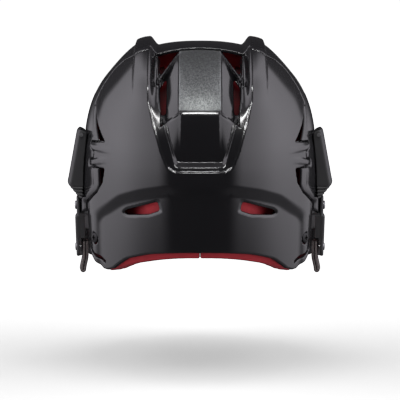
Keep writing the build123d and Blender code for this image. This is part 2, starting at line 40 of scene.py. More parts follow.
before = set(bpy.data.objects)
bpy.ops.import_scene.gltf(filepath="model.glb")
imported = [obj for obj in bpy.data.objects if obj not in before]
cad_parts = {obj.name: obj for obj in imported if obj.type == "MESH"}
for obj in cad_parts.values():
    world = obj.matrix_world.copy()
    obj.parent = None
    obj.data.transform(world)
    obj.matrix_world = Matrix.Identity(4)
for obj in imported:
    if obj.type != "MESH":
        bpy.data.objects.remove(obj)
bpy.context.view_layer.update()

# Head form and layers, in millimetres
half_width, half_length, crown_height, equator_height = 97.5, 125.0, 195.0, 95.0
dome_fullness = 2.5
side_taper, nape_taper, nape_power = 0.03, 0.12, 1.6
shell_wall = 3.0
layer_gap = 0.4
flange_depth = 3.4
cheek_bulge, cheek_drop = 4.2, 22.0
guard_wall, guard_step = 2.3, 1.4
hinge_point = np.array((99.743, 10.0, 116.5))
hinge_forward = np.array((0.063024, -0.998012, 0.0))
latch_half_length, latch_rib_spacing = 24.0, 2.7
room_side, room_length = 22.3, 28.3
side_hole_ys, side_hole_z = (-54.0, -32.0), 90.0
brow_hole_x, brow_hole_z, hole_radius = 28.0, 113.0, 2.0
strap_half_width, strap_reach, strap_centre_y, strap_half_wall = 97.0, 92.0, -20.0, 0.9
snap_y, snap_z = -30.0, 22.0
corner_screw_y, corner_screw_z = 46.0, 32.0

# Outlines seen from the side (y, z) and from behind (x, z), in millimetres
rear_edge = (
    (53, 234), (53, 181.4), (48.8, 179.4), (40, 176.5), (33, 170), (34, 159.9), (36, 150.2), (36, 142.9),
    (41.3, 141.2), (76, 112.9), (50, 111.7), (47, 108.8), (50, 106.5), (57, 104.5), (56, 98.1), (47, 96.5),
    (47, 92.6), (76, 91.5), (72, 80), (61.3, 71.2), (44, 64), (30, 59.5), (28, 22.4), (34, 17.2),
    (51.3, 7.5), (58, 7.3), (66.7, 9.4), (83.9, 19.5), (100.2, 25), (111.6, 27.3), (162.5, 28.5), (162.5, 234),
)
front_edge = (
    (75, 234), (75, 156), (45, 146.6), (37.5, 143.9), (62.5, 113.9), (68.1, 111), (68.1, 95), (64.5, 91.7),
    (64.5, 76), (56.3, 65.3), (40, 58.5), (20, 49.7), (-20, 44.9), (-50, 41), (-65, 46.8), (-75, 62.4),
    (-82.5, 81.9), (-95, 92.6), (-112.5, 97.5), (-162.5, 103.4), (-162.5, 234),
)
cheek_edge = ((62, 111.2), (62, 15), (-75, 15), (-75, 70.2), (-50, 111.2))
guard_edge = (
    (18.8, 63.4), (19.2, 49.7), (20, 16.6), (12.5, 12.9), (-27.5, 8.8), (-42.5, 9.8), (-50, 19.5),
    (-52.5, 39), (-50, 49.7), (-45, 50.5), (-45, 63.4),
)
rear_liner_edge = (
    (12.5, 234), (12.5, 70.2), (37.5, 66.3), (45, 39), (58.8, 5.2), (66, 7.0), (76.4, 9.9), (87.8, 12.9),
    (100.5, 16.3), (108, 18.2), (116, 20.5), (125, 22.8), (162.5, 23.4), (162.5, 234),
)
temple_liner_edge = (
    (37.5, 124.8), (37.5, 58.5), (-20, 50.7), (-50, 47.8), (-62.5, 58.5), (-71.3, 78), (-71.3, 98.5),
    (-45, 98.5), (-45, 124.8),
)
forehead_edge = ((-45, 234), (-45, 119), (-162.5, 119), (-162.5, 234))
crown_liner_edge = ((-43.4, 234), (-43.4, 126.8), (37.5, 126.8), (37.5, 234))
brow_edge = ((-46.9, 117.4), (-46.9, 100.4), (-162.5, 100.4), (-162.5, 117.4))
strap_edge = (
    (-17.5, 31.2), (-17.5, 12.9), (-62.5, 2.6), (-150, 2.6), (-150, 17.6), (-70, 17.6), (-42.5, 31.2),
)
panel_edge = ((40.5, 234), (40.8, 162), (40.8, 147), (37.1, 130.3), (30.7, 108.4), (25.4, 95.6), (20, 92))
inner_edge = ((33.6, 234), (33.6, 173.6), (32, 147.2), (28, 130.3), (21.6, 107.3), (18.2, 98.1))
belt_edge = ((27.3, 76.8), (46.8, 73.3), (63.4, 67.9), (83.9, 51.7), (83.9, -20))
upper_vent = ((32.7, 186.8), (20, 188.4), (18.2, 184.6), (32.2, 165.6))
strut_ends = ((34.6, 160.7), (17.7, 185.4))
lower_vent = ((31.8, 156), (30.2, 135.2), (27.0, 136.8), (26.6, 164.8))
skirt_vent = ((60.8, 57.5), (58, 60), (33.5, 68), (31.8, 61), (40.6, 57.6), (58.3, 56))
corner_slot = ((35.0, 21.5), (56.3, 13.5))
crease_height = 138.2
screw_seat, screw_along = np.array((85.5, corner_screw_y, corner_screw_z)), np.array((0.8, 0.6, 0.0))


# Fields

def head_form(x, y, z, side_grow=0.0, length_grow=0.0, top_grow=0.0):
    """Near distance to the head form that the shells and the foam follow."""
    top = crown_height + top_grow
    up = np.maximum(z - equator_height, 0.0) / (top - equator_height)
    drop = np.maximum(equator_height - z, 0.0) / equator_height
    side = 1 - side_taper * drop**2
    rear = 1 - nape_taper * drop**nape_power
    length = (half_length + length_grow) * (side + rear) / 2
    middle = (half_length + length_grow) * (rear - side) / 2
    width = (half_width + side_grow) * side
    u = x / width
    v = (y - middle) / length
    flat = np.sqrt(u * u + v * v) + 1e-9
    whole = (flat**dome_fullness + up**dome_fullness) ** (1 / dome_fullness)
    share = (flat / whole) ** (dome_fullness - 1)
    slope_x = share * u / (flat * width)
    slope_y = share * v / (flat * length)
    slope_z = (up / whole) ** (dome_fullness - 1) / (top - equator_height)
    return (whole - 1) / np.sqrt(slope_x**2 + slope_y**2 + slope_z**2 + 1e-12)


def soft_blur(table, spread):
    """A table of heights blurred by a spread counted in its steps."""
    reach = int(3 * spread) + 1
    weights = np.exp(-0.5 * (np.arange(-reach, reach + 1) / spread) ** 2)
    weights /= weights.sum()
    for axis in (0, 1):
        margin = [(reach, reach) if a == axis else (0, 0) for a in (0, 1)]
        padded = np.pad(table, margin, mode="edge")
        total = np.zeros_like(table)
        for k, weight in enumerate(weights):
            piece = padded[k:k + table.shape[0]] if axis == 0 else padded[:, k:k + table.shape[1]]
            total += weight * piece
        table = total
    return table


class Outline:
    """Distance to a closed outline in a plane, with corners softened by an amount."""

    def __init__(self, points, soften=1.0, step=0.5, mirror=False):
        points = [tuple(map(float, p)) for p in points]
        if mirror:
            points += [(-x, z) for x, z in reversed(points)]
        self.step, self.low = step, (-175.0, -60.0)
        u, w = np.meshgrid(np.arange(-175, 175, step), np.arange(-60, 245, step), indexing="ij")
        nearest = np.full(u.shape, 1e9)
        inside = np.zeros(u.shape, bool)
        for (ax, az), (bx, bz) in zip(points, points[1:] + points[:1]):
            ex, ez = bx - ax, bz - az
            along = np.clip(((u - ax) * ex + (w - az) * ez) / (ex * ex + ez * ez), 0, 1)
            nearest = np.minimum(nearest, (u - ax - along * ex) ** 2 + (w - az - along * ez) ** 2)
            if az != bz:
                inside ^= ((az > w) != (bz > w)) & (u < ax + (w - az) * ex / ez)
        self.table = soft_blur(np.where(inside, -1.0, 1.0) * np.sqrt(nearest), soften / step)

    def __call__(self, u, w):
        rows, columns = self.table.shape
        i = np.clip((u - self.low[0]) / self.step, 0, rows - 1.001)
        j = np.clip((w - self.low[1]) / self.step, 0, columns - 1.001)
        i0, j0 = i.astype(int), j.astype(int)
        fi, fj = i - i0, j - j0
        t = self.table
        low = t[i0, j0] * (1 - fi) + t[i0 + 1, j0] * fi
        high = t[i0, j0 + 1] * (1 - fi) + t[i0 + 1, j0 + 1] * fi
        return low * (1 - fj) + high * fj


def eased(t):
    """0 to 1 with a soft start and a soft end."""
    t = np.clip(t, 0, 1)
    return t * t * (3 - 2 * t)


def within(distance, width):
    """1 well inside an outline and 0 well outside, smooth across a width."""
    return eased(0.5 - distance / width)


def both(a, b, rounding):
    """What two fields share, with the edge between them rounded."""
    h = np.maximum(rounding - np.abs(a - b), 0.0) / rounding
    return np.maximum(a, b) + h * h * rounding * 0.25


def either(a, b, rounding):
    return -both(-a, -b, rounding)


def less(a, b, rounding):
    return both(a, -b, rounding)


def skin(outer, thickness):
    """A wall of one thickness under an outer surface."""
    return np.abs(outer + thickness / 2) - thickness / 2


def rod(x, y, z, centre, along, radius):
    """An endless round bar."""
    a = np.array(along, float) / np.linalg.norm(along)
    dx, dy, dz = x - centre[0], y - centre[1], z - centre[2]
    t = dx * a[0] + dy * a[1] + dz * a[2]
    return np.sqrt(np.maximum(dx * dx + dy * dy + dz * dz - t * t, 1e-12)) - radius


def bar(u, w, start, end, radius):
    """A slot with round ends in a plane."""
    ex, ez = end[0] - start[0], end[1] - start[1]
    t = np.clip(((u - start[0]) * ex + (w - start[1]) * ez) / (ex * ex + ez * ez), 0, 1)
    return np.hypot(u - start[0] - t * ex, w - start[1] - t * ez) - radius


# Surfaces from fields

def surface_net(values, low, step):
    """Vertices in the cells that a surface passes through, and the quads that join them."""
    inside = values < 0
    shape = np.array(values.shape)
    count = np.zeros(shape - 1, np.int8)
    for corner in np.ndindex(2, 2, 2):
        count += inside[tuple(slice(c, s - 1 + c) for c, s in zip(corner, shape))]
    cells = np.argwhere((count > 0) & (count < 8))
    number = np.full(shape - 1, -1, np.int64)
    number[tuple(cells.T)] = np.arange(len(cells))
    total, hits = np.zeros((len(cells), 3)), np.zeros(len(cells))
    quads = []
    for axis in range(3):
        one, two = [(1, 2), (2, 0), (0, 1)][axis]
        for a, b in np.ndindex(2, 2):
            first = np.zeros(3, int)
            first[one], first[two] = a, b
            second = first.copy()
            second[axis] = 1
            start, end = values[tuple((cells + first).T)], values[tuple((cells + second).T)]
            crossed = (start < 0) != (end < 0)
            t = start[crossed] / (start[crossed] - end[crossed])
            total[crossed] += cells[crossed] + first + (second - first) * t[:, None]
            hits[crossed] += 1
        near = [slice(None)] * 3
        far = [slice(None)] * 3
        near[axis], far[axis] = slice(0, -1), slice(1, None)
        edges = np.argwhere(inside[tuple(near)] != inside[tuple(far)])
        ok = (edges[:, one] > 0) & (edges[:, two] > 0)
        edges = edges[ok & (edges[:, one] < shape[one] - 1) & (edges[:, two] < shape[two] - 1)]
        leaving = inside[tuple(edges.T)]
        ring = []
        for back, side in ((1, 1), (0, 1), (0, 0), (1, 0)):
            cell = edges.copy()
            cell[:, one] -= back
            cell[:, two] -= side
            ring.append(number[tuple(cell.T)])
        quad = np.stack(ring, 1)
        quad[~leaving] = quad[~leaving][:, ::-1]
        quads.append(quad)
    return total / hits[:, None] * step + np.array(low), np.concatenate(quads)


def field_surface(field, low, high, step, rounds=3):
    """Vertices settled on the surface where a field is zero, its quads and its normals."""
    spans = [np.arange(a, b + step, step) for a, b in zip(low, high)]
    slabs = []
    for start in range(0, len(spans[0]), 16):
        some = spans[0][start:start + 16, None, None]
        block = field(some, spans[1][None, :, None], spans[2][None, None, :])
        slabs.append(np.broadcast_to(block, (len(some), len(spans[1]), len(spans[2]))).astype(np.float32))
    points, quads = surface_net(np.concatenate(slabs), low, step)
    reach = 0.12
    for turn in range(rounds + 1):
        x, y, z = points.T
        slope = np.stack([field(x + reach, y, z) - field(x - reach, y, z),
                          field(x, y + reach, z) - field(x, y - reach, z),
                          field(x, y, z + reach) - field(x, y, z - reach)], 1) / (2 * reach)
        size = np.linalg.norm(slope, axis=1)[:, None] + 1e-9
        if turn < rounds:
            move = np.clip(field(x, y, z)[:, None] / size, -0.4 * step, 0.4 * step)
            points = points - slope / size * move
    return points, quads, slope / size


def mesh_object(name, points, faces, normals):
    """An object from points in millimetres, smooth all over."""
    mesh = bpy.data.meshes.new(name)
    mesh.vertices.add(len(points))
    mesh.vertices.foreach_set("co", (np.asarray(points) * 0.001).astype(np.float32).ravel())
    size = faces.shape[1]
    mesh.loops.add(faces.size)
    mesh.loops.foreach_set("vertex_index", faces.astype(np.int32).ravel())
    mesh.polygons.add(len(faces))
    mesh.polygons.foreach_set("loop_start", np.arange(0, faces.size, size, dtype=np.int32))
    mesh.update(calc_edges=True)
    mesh.validate()
    mesh.polygons.foreach_set("use_smooth", np.ones(len(mesh.polygons), bool))
    if len(normals) == len(mesh.vertices):
        mesh.normals_split_custom_set_from_vertices(normals.astype(np.float32).tolist())
    piece = bpy.data.objects.new(name, mesh)
    bpy.context.scene.collection.objects.link(piece)
    return piece


def moulding(name, field, low, high, step):
    return mesh_object(name, *field_surface(field, low, high, step))


def mirrored_surface(points, quads, normals):
    flipped = np.array((-1.0, 1.0, 1.0))
    return points * flipped, quads[:, ::-1], normals * flipped


def moulding_pair(name, ending, field, low, high, step):
    """A piece on the wearer's left and its mirror image on the right, each with its side."""
    left = field_surface(field, low, high, step)
    surfaces = (("left", left), ("right", mirrored_surface(*left)))
    return [(mesh_object(f"{name}_{side}_{ending}", *surface), side) for side, surface in surfaces]


def set_attribute(piece, name, values):
    layer = piece.data.attributes.new(name, "FLOAT", "POINT")
    layer.data.foreach_set("value", np.asarray(values, np.float32))


def points_of(piece):
    co = np.zeros(len(piece.data.vertices) * 3, np.float32)
    piece.data.vertices.foreach_get("co", co)
    return co.reshape(-1, 3) * 1000.0


def place(piece, body, finish, node):
    """Gives a piece its finish and its body, and hides the node that it stands for."""
    piece.data.materials.append(finish)
    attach(piece, body)
    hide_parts(node)
    return piece


def crown_lift(ax, z):
    """How far the lobes and the ridges beside the sunken centre stand up, on either side of the crown."""
    lobe = 6.2 * (1 - eased((ax - 45) / 33)) * eased((z - 128) / 44)
    ridge = (1.2 + 2.0 * (ax - 41) / 12) * within(ax - 53.5, 2.2) * eased((z - 146) / 26)
    return lobe + ridge


REAR = Outline(rear_edge, 0.9)
FRONT = Outline(front_edge, 1.6)
CHEEK = Outline(cheek_edge, 3.0)
PANEL = Outline(panel_edge, 1.2, mirror=True)
INNER = Outline(inner_edge, 1.2, mirror=True)
BELT = Outline(belt_edge, 3.0, mirror=True)
UPPER_VENT = Outline(upper_vent, 0.9)
LOWER_VENT = Outline(lower_vent, 0.8)
SKIRT_VENT = Outline(skirt_vent, 0.9)
RECESS = Outline(((25.6, 76), (24, 73), (21, 67)), 0.5, mirror=True)


def rear_edge_distance(ax, y, z):
    """Distance to the rear shell's side view outline, which stands back at the two ridges."""
    back = 10.0 * within(np.abs(ax - 47.5) - 6.4, 1.6) * eased((z - 168) / 8)
    return REAR(y - back, z)


def rear_shell_field(x, y, z):
    ax = np.abs(x)
    crease = crease_height - 0.77 * np.maximum(ax - 17, 0)
    (ax_low, z_low), (ax_high, z_high) = strut_ends
    reach = np.hypot(ax_high - ax_low, z_high - z_low)
    above_strut = ((ax - ax_low) * (z_low - z_high) + (z - z_low) * (ax_high - ax_low)) / -reach
    under_strut = within(above_strut + 1.0, 1.4)
    below, beside = crease - z, within(ax - 17, 1.4)
    rising = 3.0 + 0.7 * (1 - np.clip(-below / 9, 0, 1)) ** 2 + 0.155 * np.maximum(below, 0)
    falling = 3.7 * (1 - np.minimum(below / 38, 1))
    facet = 1 - np.clip((ax - 15) / 11, 0, 1)
    tongue = either(rising, falling, 0.7)
    tongue = tongue * (beside + (facet - beside) * eased((below + 1) / 4))
    flank = within(np.maximum(ax - 31, below), 1.4) * under_strut * (1 - beside)
    rim_slope = np.clip(-PANEL(ax, z) / 6.8, 0, 1)
    sunk = 0.7 * within(PANEL(ax, z), 2.2) + 2.3 * rim_slope
    floor_width = 2.0 + 3.0 * within(z - 103, 10)
    sunk = sunk + (3.0 - tongue - 1.5 * flank) * within(INNER(ax, z), floor_width)
    sunk = sunk + 0.38 * np.clip(ax - 17.5, 0, 14) * flank
    strut = within(bar(ax, z, *strut_ends, 1.3), 1.3)
    sunk = sunk - 1.9 * strut * within(PANEL(ax, z) + 6.2, 2.0)
    belt_width = 7.5 + 3.5 * eased((z - 46) / 12)
    sunk = sunk + 3.2 * within(BELT(ax, z), belt_width) + 1.2 * within(SKIRT_VENT(ax, z) - 1.2, 2.4)
    sunk = sunk - 0.9 * within(bar(y, z, (44, 108.6), (84, 106.6), 2.3), 2.0) * (1 - eased((y - 62) / 26))
    sunk = sunk - 0.9 * within(bar(y, z, (44, 94.2), (80, 98.6), 2.3), 2.0) * (1 - eased((y - 58) / 26))
    sunk = sunk + 0.35 * within(RECESS(ax, z), 0.5)
    lift = crown_lift(ax, z) * (1 - eased(rim_slope * 1.15))
    wall = skin(head_form(x, y, z) - lift + sunk, shell_wall)
    wall = both(wall, rear_edge_distance(ax, y, z), 1.2)
    for vent in (UPPER_VENT, LOWER_VENT, SKIRT_VENT):
        wall = less(wall, vent(ax, z), 1.0)
    wall = less(wall, bar(y, z, *corner_slot, 1.5), 0.5)
    return less(wall, rod(ax, y, z, screw_seat, screw_along, 5.2), 0.6)


def cheek_out(y):
    """How far the cheek stands out from the head form, fading towards the rear."""
    return cheek_bulge * (1 - np.clip((y - 14.0) / 42.0, 0, 1))


def front_shell_field(x, y, z):
    ax = np.abs(x)
    middle = within(ax - 38.2, 8.0) * np.clip((z - 120) / 25, 0, 1)
    lift = crown_lift(ax, z) * (1 - middle) - 1.2 * middle
    outer = head_form(x, y, z) - lift
    rear = rear_edge_distance(ax, y, z)
    region = both(CHEEK(y, z), 1.5 - rear, 4.0)
    cheek = both(head_form(ax - cheek_out(y), y, z + cheek_drop), region, 4.0)
    outer = either(outer, cheek, 2.5)
    outer = outer + flange_depth * within(rear - 0.9, 1.2) * within(39.0 - ax, 2.0)
    wall = both(skin(outer, shell_wall), FRONT(y, z), 1.5)
    wall = less(wall, np.maximum(np.maximum(rear - layer_gap, ax - 40.5), 95 - z), 0.8)
    brow_hole = np.hypot(ax - brow_hole_x, z - brow_hole_z) - hole_radius
    wall = less(wall, np.where(y < 0, brow_hole, 50.0), 0.5)
    for y_hole in side_hole_ys:
        wall = less(wall, np.hypot(y - y_hole, z - side_hole_z) - hole_radius, 0.5)
    return wall


def guard_offset(z):
    """How far out the ear guard's inner face stands, with a step between its two leaves."""
    return cheek_bulge + 0.3 + guard_step * within(z - 47.5, 3.0)


GUARD = Outline(guard_edge, 2.2)


def guard_field(x, y, z):
    outer = head_form(x - guard_offset(z) - guard_wall, y, z + cheek_drop)
    wall = both(skin(outer, guard_wall), GUARD(y, z), 1.1)
    lip = both(skin(outer, 7.5), np.maximum(np.abs(y - 18.2) - 1.1, np.abs(z - 38.0) - 9.5), 0.8)
    wall = either(wall, lip, 1.0)
    for step in (-1, 0, 1):
        wall = less(wall, bar(y, z, (-8 + 9 * step, 24), (-8 + 9 * step, 40), 2.0), 0.9)
    return wall


def hinge_frame(x, y, z):
    """Outward, up and forward from the left latch's hinge."""
    f = hinge_forward
    out = np.array((-f[1], f[0], 0.0))
    dx, dy, dz = x - hinge_point[0], y - hinge_point[1], z - hinge_point[2]
    return dx * out[0] + dy * out[1], dz, dx * f[0] + dy * f[1]


def shell_side(x, y, z):
    """The front shell's outer face beside the latch."""
    return either(head_form(x, y, z), head_form(x - cheek_out(y), y, z + cheek_drop), 2.0)


LATCH = Outline(((-6, 6.4), (0.6, 6.4), (3.4, 3.2), (4.4, -2), (10.8, -37), (11.7, -40.4), (10.9, -42.6),
                 (1.9, -53.6), (-6, -53.6)), 1.1, step=0.25)


def latch_field(x, y, z):
    u, w, t = hinge_frame(x, y, z)
    u = u + t * t / 420
    body = LATCH(u, w)
    ends = np.abs(t) - latch_half_length
    cover = both(body, ends, 2.6)
    hollow = both(body + 2.4, np.abs(t) - latch_half_length + 2.4, 1.2)
    cover = less(cover, np.minimum(hollow, shell_side(x, y, z) - 0.6), 0.7)
    # The top is rounded off so that it clears the shell as the latch swings out
    for angle in np.radians((20.0, 40.0, 60.0, 75.0)):
        turned_u = u * np.cos(angle) - w * np.sin(angle)
        turned_w = u * np.sin(angle) + w * np.cos(angle)
        along_x, along_y = (turned_u - u) * hinge_forward[1], (turned_u - u) * hinge_forward[0]
        cover = less(cover, shell_side(x - along_x, y + along_y, z + turned_w - w) - 0.6, 0.7)
    # Finger ribs across the slanted foot
    ramp = within(w + 43, 2.0)
    return cover + 0.7 * ramp * (0.5 + 0.5 * np.cos(w * 2 * np.pi / latch_rib_spacing))


def side_place(y, z, out=0.0, drop=0.0, turn=0.0):
    """A point on the wearer's left of the head form, with the directions outward and rearward there."""
    fall = max(equator_height - z - drop, 0.0) / equator_height
    rise = max(z + drop - equator_height, 0.0) / (crown_height - equator_height)
    side = (1 - rise**dome_fullness) ** (1 / dome_fullness) - side_taper * fall**2
    rear = side if rise else 1 - nape_taper * fall**nape_power
    width, length = half_width * side, half_length * (side + rear) / 2
    from_middle = y - half_length * (rear - side) / 2
    x = width * np.sqrt(1 - (from_middle / length) ** 2)
    angle = np.arctan2(from_middle / length**2, x / width**2) + np.radians(turn)
    outward = np.array((np.cos(angle), np.sin(angle), 0.0))
    return np.array((x + out, y, z)), outward


# Finishes

def node_maker(tree):
    """A function that adds a node to a tree, with its settings and with its inputs as values or links."""
    def node(kind, settings=None, **inputs):
        made = tree.nodes.new(kind)
        for key, value in (settings or {}).items():
            setattr(made, key, value)
        for key, value in inputs.items():
            socket = made.inputs[int(key[1:])] if key[0] == "i" and key[1:].isdigit() else made.inputs[key]
            if isinstance(value, bpy.types.NodeSocket):
                tree.links.new(value, socket)
            else:
                socket.default_value = value
        return made
    return node


def new_finish(name, colour, roughness, metallic=0.0, **more):
    """A material, with functions that add a node to it and link a value to its shader."""
    finish = bpy.data.materials.new(name)
    finish.use_nodes = True
    tree = finish.node_tree
    shader = tree.nodes["Principled BSDF"]
    start = {"Base Color": (*colour, 1.0), "Roughness": roughness, "Metallic": metallic, **more}
    for socket, value in start.items():
        shader.inputs[socket].default_value = value

    def link(value, socket):
        tree.links.new(value, shader.inputs[socket])
    return finish, node_maker(tree), link


def calculated(node, operation, *values):
    """The outcome of one arithmetic node."""
    numbered = {f"i{index}": value for index, value in enumerate(values)}
    return node("ShaderNodeMath", {"operation": operation}, **numbered).outputs[0]


def grain(node, scale, detail=3.0, stretch=(1.0, 1.0, 1.0)):
    """Noise in the object's own space, in grains per metre."""
    own = node("ShaderNodeTexCoord").outputs["Object"]
    mapped = node("ShaderNodeMapping", Vector=own, Scale=stretch)
    return node("ShaderNodeTexNoise", Vector=mapped.outputs[0], Scale=scale, Detail=detail).outputs["Fac"]


def spread(node, value, low, high, start=0.0, end=1.0, way="LINEAR"):
    """A value carried from one range to another."""
    limits = {"From Min": start, "From Max": end, "To Min": low, "To Max": high}
    return node("ShaderNodeMapRange", {"interpolation_type": way}, Value=value, **limits).outputs[0]


def tint(node, factor, first, second):
    """A mix of two colours, each a colour or a link."""
    first, second = (c if isinstance(c, bpy.types.NodeSocket) else (*c, 1.0) for c in (first, second))
    return node("ShaderNodeMix", {"data_type": "RGBA"}, i0=factor, i6=first, i7=second).outputs[2]


def mottled(node, value, colour, first, second, start=0.3, end=0.7):
    """A colour times the first share, running to the second share as a value runs from start to end."""
    return tint(node, spread(node, value, 0.0, 1.0, start, end), tuple(c * first for c in colour),
                tuple(min(c * second, 1) for c in colour))


def raised(node, height, depth, strength=1.0, before=None):
    made = node("ShaderNodeBump", Height=height, Distance=depth, Strength=strength)
    if before is not None:
        made.id_data.links.new(before, made.inputs["Normal"])
    return made.outputs[0]


def glossy_shell_finish(name, colour, speckle):
    """Glossy black moulding, faintly uneven, with a metallic fleck where the fleck attribute says so."""
    finish, node, link = new_finish(name, colour, 0.2, **{"Coat Weight": 0.35, "Coat Roughness": 0.08})
    smudge = grain(node, 22.0, 5.0)
    peel = grain(node, 420.0, 2.0)
    dust = grain(node, 5200.0, 1.0)
    area = node("ShaderNodeAttribute", {"attribute_name": "fleck"}).outputs["Fac"]
    flakes = node("ShaderNodeTexVoronoi", Vector=node("ShaderNodeTexCoord").outputs["Object"], Scale=1500.0)
    flake = spread(node, flakes.outputs["Color"], 0.0, 1.0, 0.25, 0.85)
    fleck_colour = tint(node, flake, tuple(c * 0.4 for c in speckle), speckle)
    base = tint(node, spread(node, dust, 0.0, 0.12, 0.62, 0.8), colour, (0.09, 0.09, 0.095))
    link(tint(node, area, base, fleck_colour), "Base Color")
    rough = spread(node, smudge, 0.11, 0.2, 0.3, 0.7)
    rough = node("ShaderNodeMix", i0=area, i2=rough, i3=0.42).outputs[0]
    link(rough, "Roughness")
    link(calculated(node, "MULTIPLY", area, 0.75), "Metallic")
    link(raised(node, peel, 0.00003, 0.5), "Normal")
    return finish


def matte_moulding_finish(name, colour, roughness=0.52):
    """Matte plastic with a fine moulded grain."""
    finish, node, link = new_finish(name, colour, roughness)
    fine, cloud = grain(node, 1900.0, 2.0), grain(node, 30.0, 4.0)
    link(mottled(node, cloud, colour, 0.85, 1.15), "Base Color")
    link(spread(node, fine, roughness - 0.06, roughness + 0.08, 0.3, 0.7), "Roughness")
    link(raised(node, fine, 0.00012, 0.55), "Normal")
    return finish


def foam_finish(name, colour):
    """Closed-cell foam: a fine skin of cells, faintly cloudy."""
    finish, node, link = new_finish(name, colour, 0.82)
    own = node("ShaderNodeTexCoord").outputs["Object"]
    cells = node("ShaderNodeTexVoronoi", Vector=own, Scale=900.0).outputs["Distance"]
    cloud = grain(node, 45.0, 4.0)
    link(mottled(node, cloud, colour, 0.82, 1.12), "Base Color")
    cellular = raised(node, cells, 0.00025, 0.5)
    link(raised(node, cloud, 0.0008, 0.35, cellular), "Normal")
    return finish


def webbing_finish(name, colour):
    """Woven tape: ribs that lean one way then the other across its width, with painted shade in the grooves
    and painted light on the ribs.
    """
    finish, node, link = new_finish(name, colour, 0.78)
    along = node("ShaderNodeAttribute", {"attribute_name": "along"}).outputs["Fac"]
    across = node("ShaderNodeAttribute", {"attribute_name": "across"}).outputs["Fac"]
    slant = calculated(node, "ADD", along, calculated(node, "PINGPONG", across, 1.9))
    ribs = calculated(node, "SINE", calculated(node, "MULTIPLY", slant, 5.2))
    threads = calculated(node, "SINE", calculated(node, "MULTIPLY", across, 9.0))
    height = calculated(node, "MULTIPLY_ADD", threads, 0.4, ribs)
    # Painted shade and light: the colour darkens in the weave's grooves and lightens on its ribs
    link(mottled(node, height, colour, 0.45, 1.6, -1.3, 1.3), "Base Color")
    link(raised(node, height, 0.00016, 0.9), "Normal")
    return finish


def steel_finish(name, colour, roughness=0.34):
    """Plated steel with faint turning marks and small dulled spots."""
    finish, node, link = new_finish(name, colour, roughness, 1.0)
    marks, spots = grain(node, 900.0, 2.0, (1.0, 1.0, 8.0)), grain(node, 260.0, 5.0)
    link(spread(node, marks, roughness - 0.1, roughness + 0.14, 0.3, 0.7), "Roughness")
    link(mottled(node, spots, colour, 1.0, 0.6, 0.45, 0.75), "Base Color")
    link(raised(node, marks, 0.00002, 0.5), "Normal")
    return finish


# Webbing, foam and small hardware

def merged(*surfaces):
    """Several surfaces as one."""
    counts = np.cumsum([0] + [len(s[0]) for s in surfaces])
    return (np.concatenate([s[0] for s in surfaces]),
            np.concatenate([s[1] + start for s, start in zip(surfaces, counts)]),
            np.concatenate([s[2] for s in surfaces]))


def around(centre, reach):
    """The corners of a cube about a point."""
    return np.asarray(centre) - reach, np.asarray(centre) + reach


def screw_field(origin, outward, head, height, shank, length, recess):
    """A domed screw or rivet head on a shank; the recess is a cross, a ring or none."""
    rearward = np.array((-outward[1], outward[0], 0.0))

    def field(x, y, z):
        d = (x - origin[0], y - origin[1], z - origin[2])
        t = d[0] * outward[0] + d[1] * outward[1]
        a = d[0] * rearward[0] + d[1] * rearward[1]
        w = d[2]
        r = np.sqrt(a * a + w * w + 1e-9)
        dome = t - height + 0.32 * height * (r / head) ** 2
        cap = both(both(r - head, dome, 0.5), -t, 0.15)
        if recess == "cross":
            arms = np.minimum(np.maximum(np.abs(a) - 0.55, np.abs(w) - 2.0),
                              np.maximum(np.abs(w) - 0.55, np.abs(a) - 2.0))
            cap = less(cap, np.maximum(arms, height * 0.35 - t), 0.25)
        elif recess == "ring":
            cap = less(cap, np.maximum(np.abs(r - 0.55 * head) - 0.22, height * 0.55 - t), 0.2)
        return np.minimum(cap, np.maximum(r - shank, np.maximum(t - 0.2, -length - t)))
    return field


def screw_surface(place_and_way, head, height, shank, length, recess):
    origin, outward = place_and_way
    low, high = around(origin - outward * (length - height) / 2, max(length, head) + 1.0)
    return field_surface(screw_field(origin, outward, head, height, shank, length, recess), low, high, 0.3)


def channels(x, y, z):
    """The grooves between the foam blocks, 1 in a groove and 0 between."""
    def groove(d):
        return within(np.abs(d) - 2.4, 2.6)
    rounds = np.arctan2(y, np.abs(x) + 1e-6)
    lines = np.maximum(groove(np.abs(x) - 24), groove(np.abs(x) - 62))
    cross = groove((rounds * 95 + 400) % 44 - 22)
    level = groove((z + 6) % 42 - 21)
    return np.maximum(np.maximum(lines * (z > 120), cross), level)


def foam_field(outer, edge, ends, depth):
    """Foam from an outer surface in to the room for the head, inside a side view outline."""
    def field(x, y, z):
        head = head_form(x, y, z, -room_side, -room_length, -room_side) - depth * channels(x, y, z)
        spread_out = 1.0 / np.clip(np.hypot(x / half_width, y / half_length), 0.55, 1.0)
        far = y * (1 + (spread_out - 1) * eased((equator_height - z) / 20.0) * eased((y - 30) / 20.0))
        block = both(both(outer(x, y, z), -head, 3.5), edge(far, z), 3.0)
        return ends(block, x, y, z)
    return field


def rear_foam(x, y, z):
    outer = head_form(x, y, z) + 6.7
    sliding = np.minimum(0.4 - FRONT(y, z), head_form(x, y + 15.0, z) + 6.7)
    backing = np.minimum(3.3 - INNER(np.abs(x), z), head_form(x, y, z) + 8.8)
    foam = np.maximum(np.maximum(outer, sliding), backing)
    ax, deep = np.abs(x), -head_form(x, y, z)
    through = 14.0 * within(np.maximum(166.0 - z, np.abs(ax - 22.0) - 6.0), 2.0)
    duct = np.maximum(np.maximum(np.abs(ax - 25.0) - 10.0, 124.0 - z), deep - 18.2 - through)
    slope = 6.7 + 11.5 * eased((ax - 40.0) / 18.0)
    notch = np.maximum(np.maximum(np.abs(ax - 52.0) - 12.0, np.abs(z - 61.0) - 7.0), deep - slope)
    return less(less(foam, duct, 2.0), notch, 2.0)


def front_foam(x, y, z):
    return head_form(x, y, z) + 3.3


